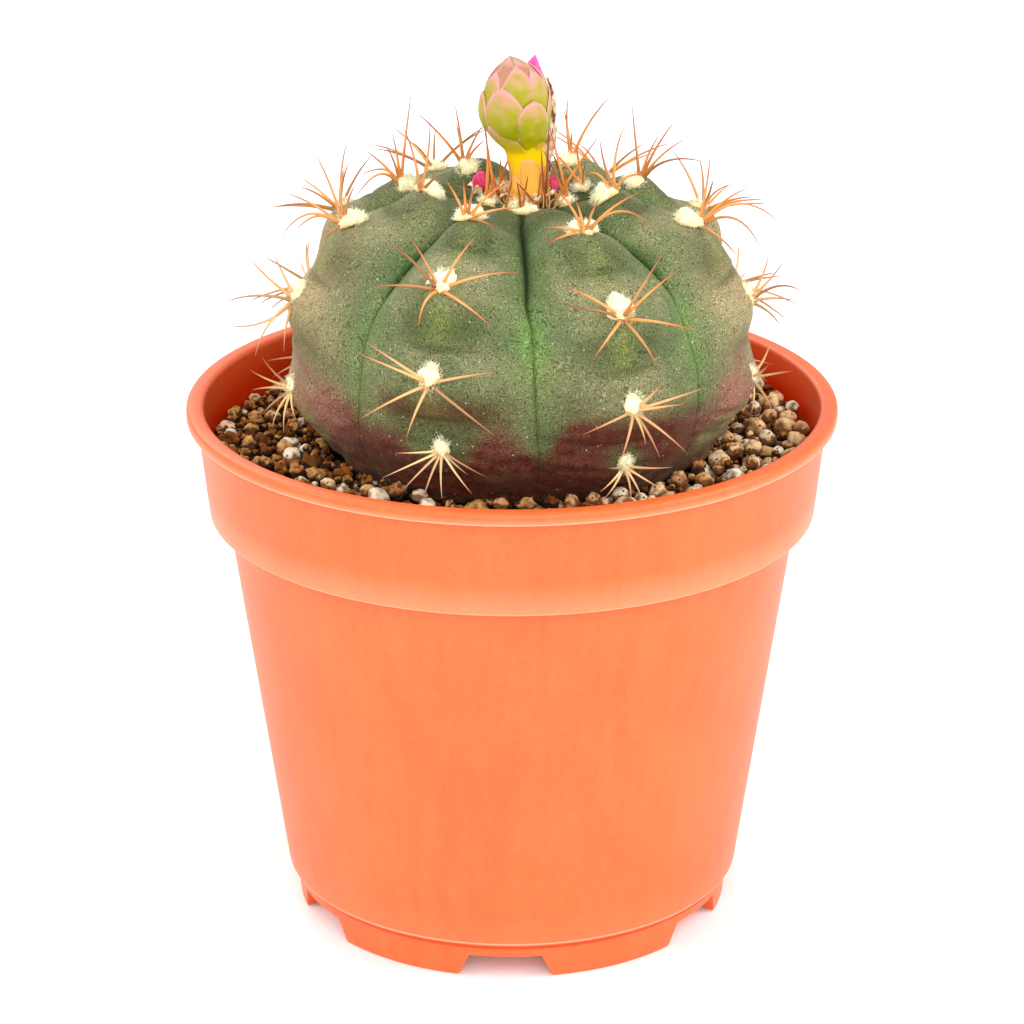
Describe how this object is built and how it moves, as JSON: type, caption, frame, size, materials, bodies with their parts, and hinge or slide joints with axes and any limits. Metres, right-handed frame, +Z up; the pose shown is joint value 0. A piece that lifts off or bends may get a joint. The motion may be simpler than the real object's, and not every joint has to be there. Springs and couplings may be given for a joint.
{
  "type": "potted round cactus",
  "caption": "Round ribbed chin cactus with woolly spined areoles and a scaly flower bud, in gritty soil in a tapered nursery pot.",
  "frame": {"origin": "centre of the circle that the pot's foot stands on", "axes": "+Z up along the pot's axis, -Y towards the viewer, +X to the viewer's right"},
  "size_m": [0.105, 0.105, 0.1426],
  "materials": {
    "pot_plastic": "moulded polypropylene, satin, fine vertical flow marks",
    "grit": "fired clay and pumice crumbs, dry and matt",
    "stem_skin": "waxy grey-green plant skin, finely pitted",
    "areole": "cream wool with horny orange-tan spines",
    "bud_scale": "smooth fleshy scales with pink edges",
    "petal": "thin satin petal tissue",
    "withered_tissue": "dry shrivelled brown tissue"
  },
  "bodies": {
    "root": {"pot": "pot_plastic", "potting_grit": "grit", "cactus_stem": "stem_skin", "flower_bud": "bud_scale", "pink_bud_left": "petal", "pink_bud_right": "petal", "withered_flower_tube": "withered_tissue", "withered_flower_petals": "petal", "areole_back_left_1": "areole", "areole_back_left_2": "areole", "areole_back_left_3": "areole", "areole_back_left_4": "areole", "areole_left_rear_1": "areole", "areole_left_rear_2": "areole", "areole_left_rear_3": "areole", "areole_left_rear_4": "areole", "areole_left_1": "areole", "areole_left_2": "areole", "areole_left_3": "areole", "areole_left_4": "areole", "areole_front_left_1": "areole", "areole_front_left_2": "areole", "areole_front_left_3": "areole", "areole_front_left_4": "areole", "areole_front_right_1": "areole", "areole_front_right_2": "areole", "areole_front_right_3": "areole", "areole_front_right_4": "areole", "areole_right_1": "areole", "areole_right_2": "areole", "areole_right_3": "areole", "areole_right_4": "areole", "areole_right_rear_1": "areole", "areole_right_rear_2": "areole", "areole_right_rear_3": "areole", "areole_right_rear_4": "areole", "areole_back_right_1": "areole", "areole_back_right_2": "areole", "areole_back_right_3": "areole", "areole_back_right_4": "areole", "areole_crown_1": "areole", "areole_crown_2": "areole", "areole_crown_3": "areole", "areole_crown_4": "areole", "areole_crown_5": "areole"}
  },
  "joints": []
}
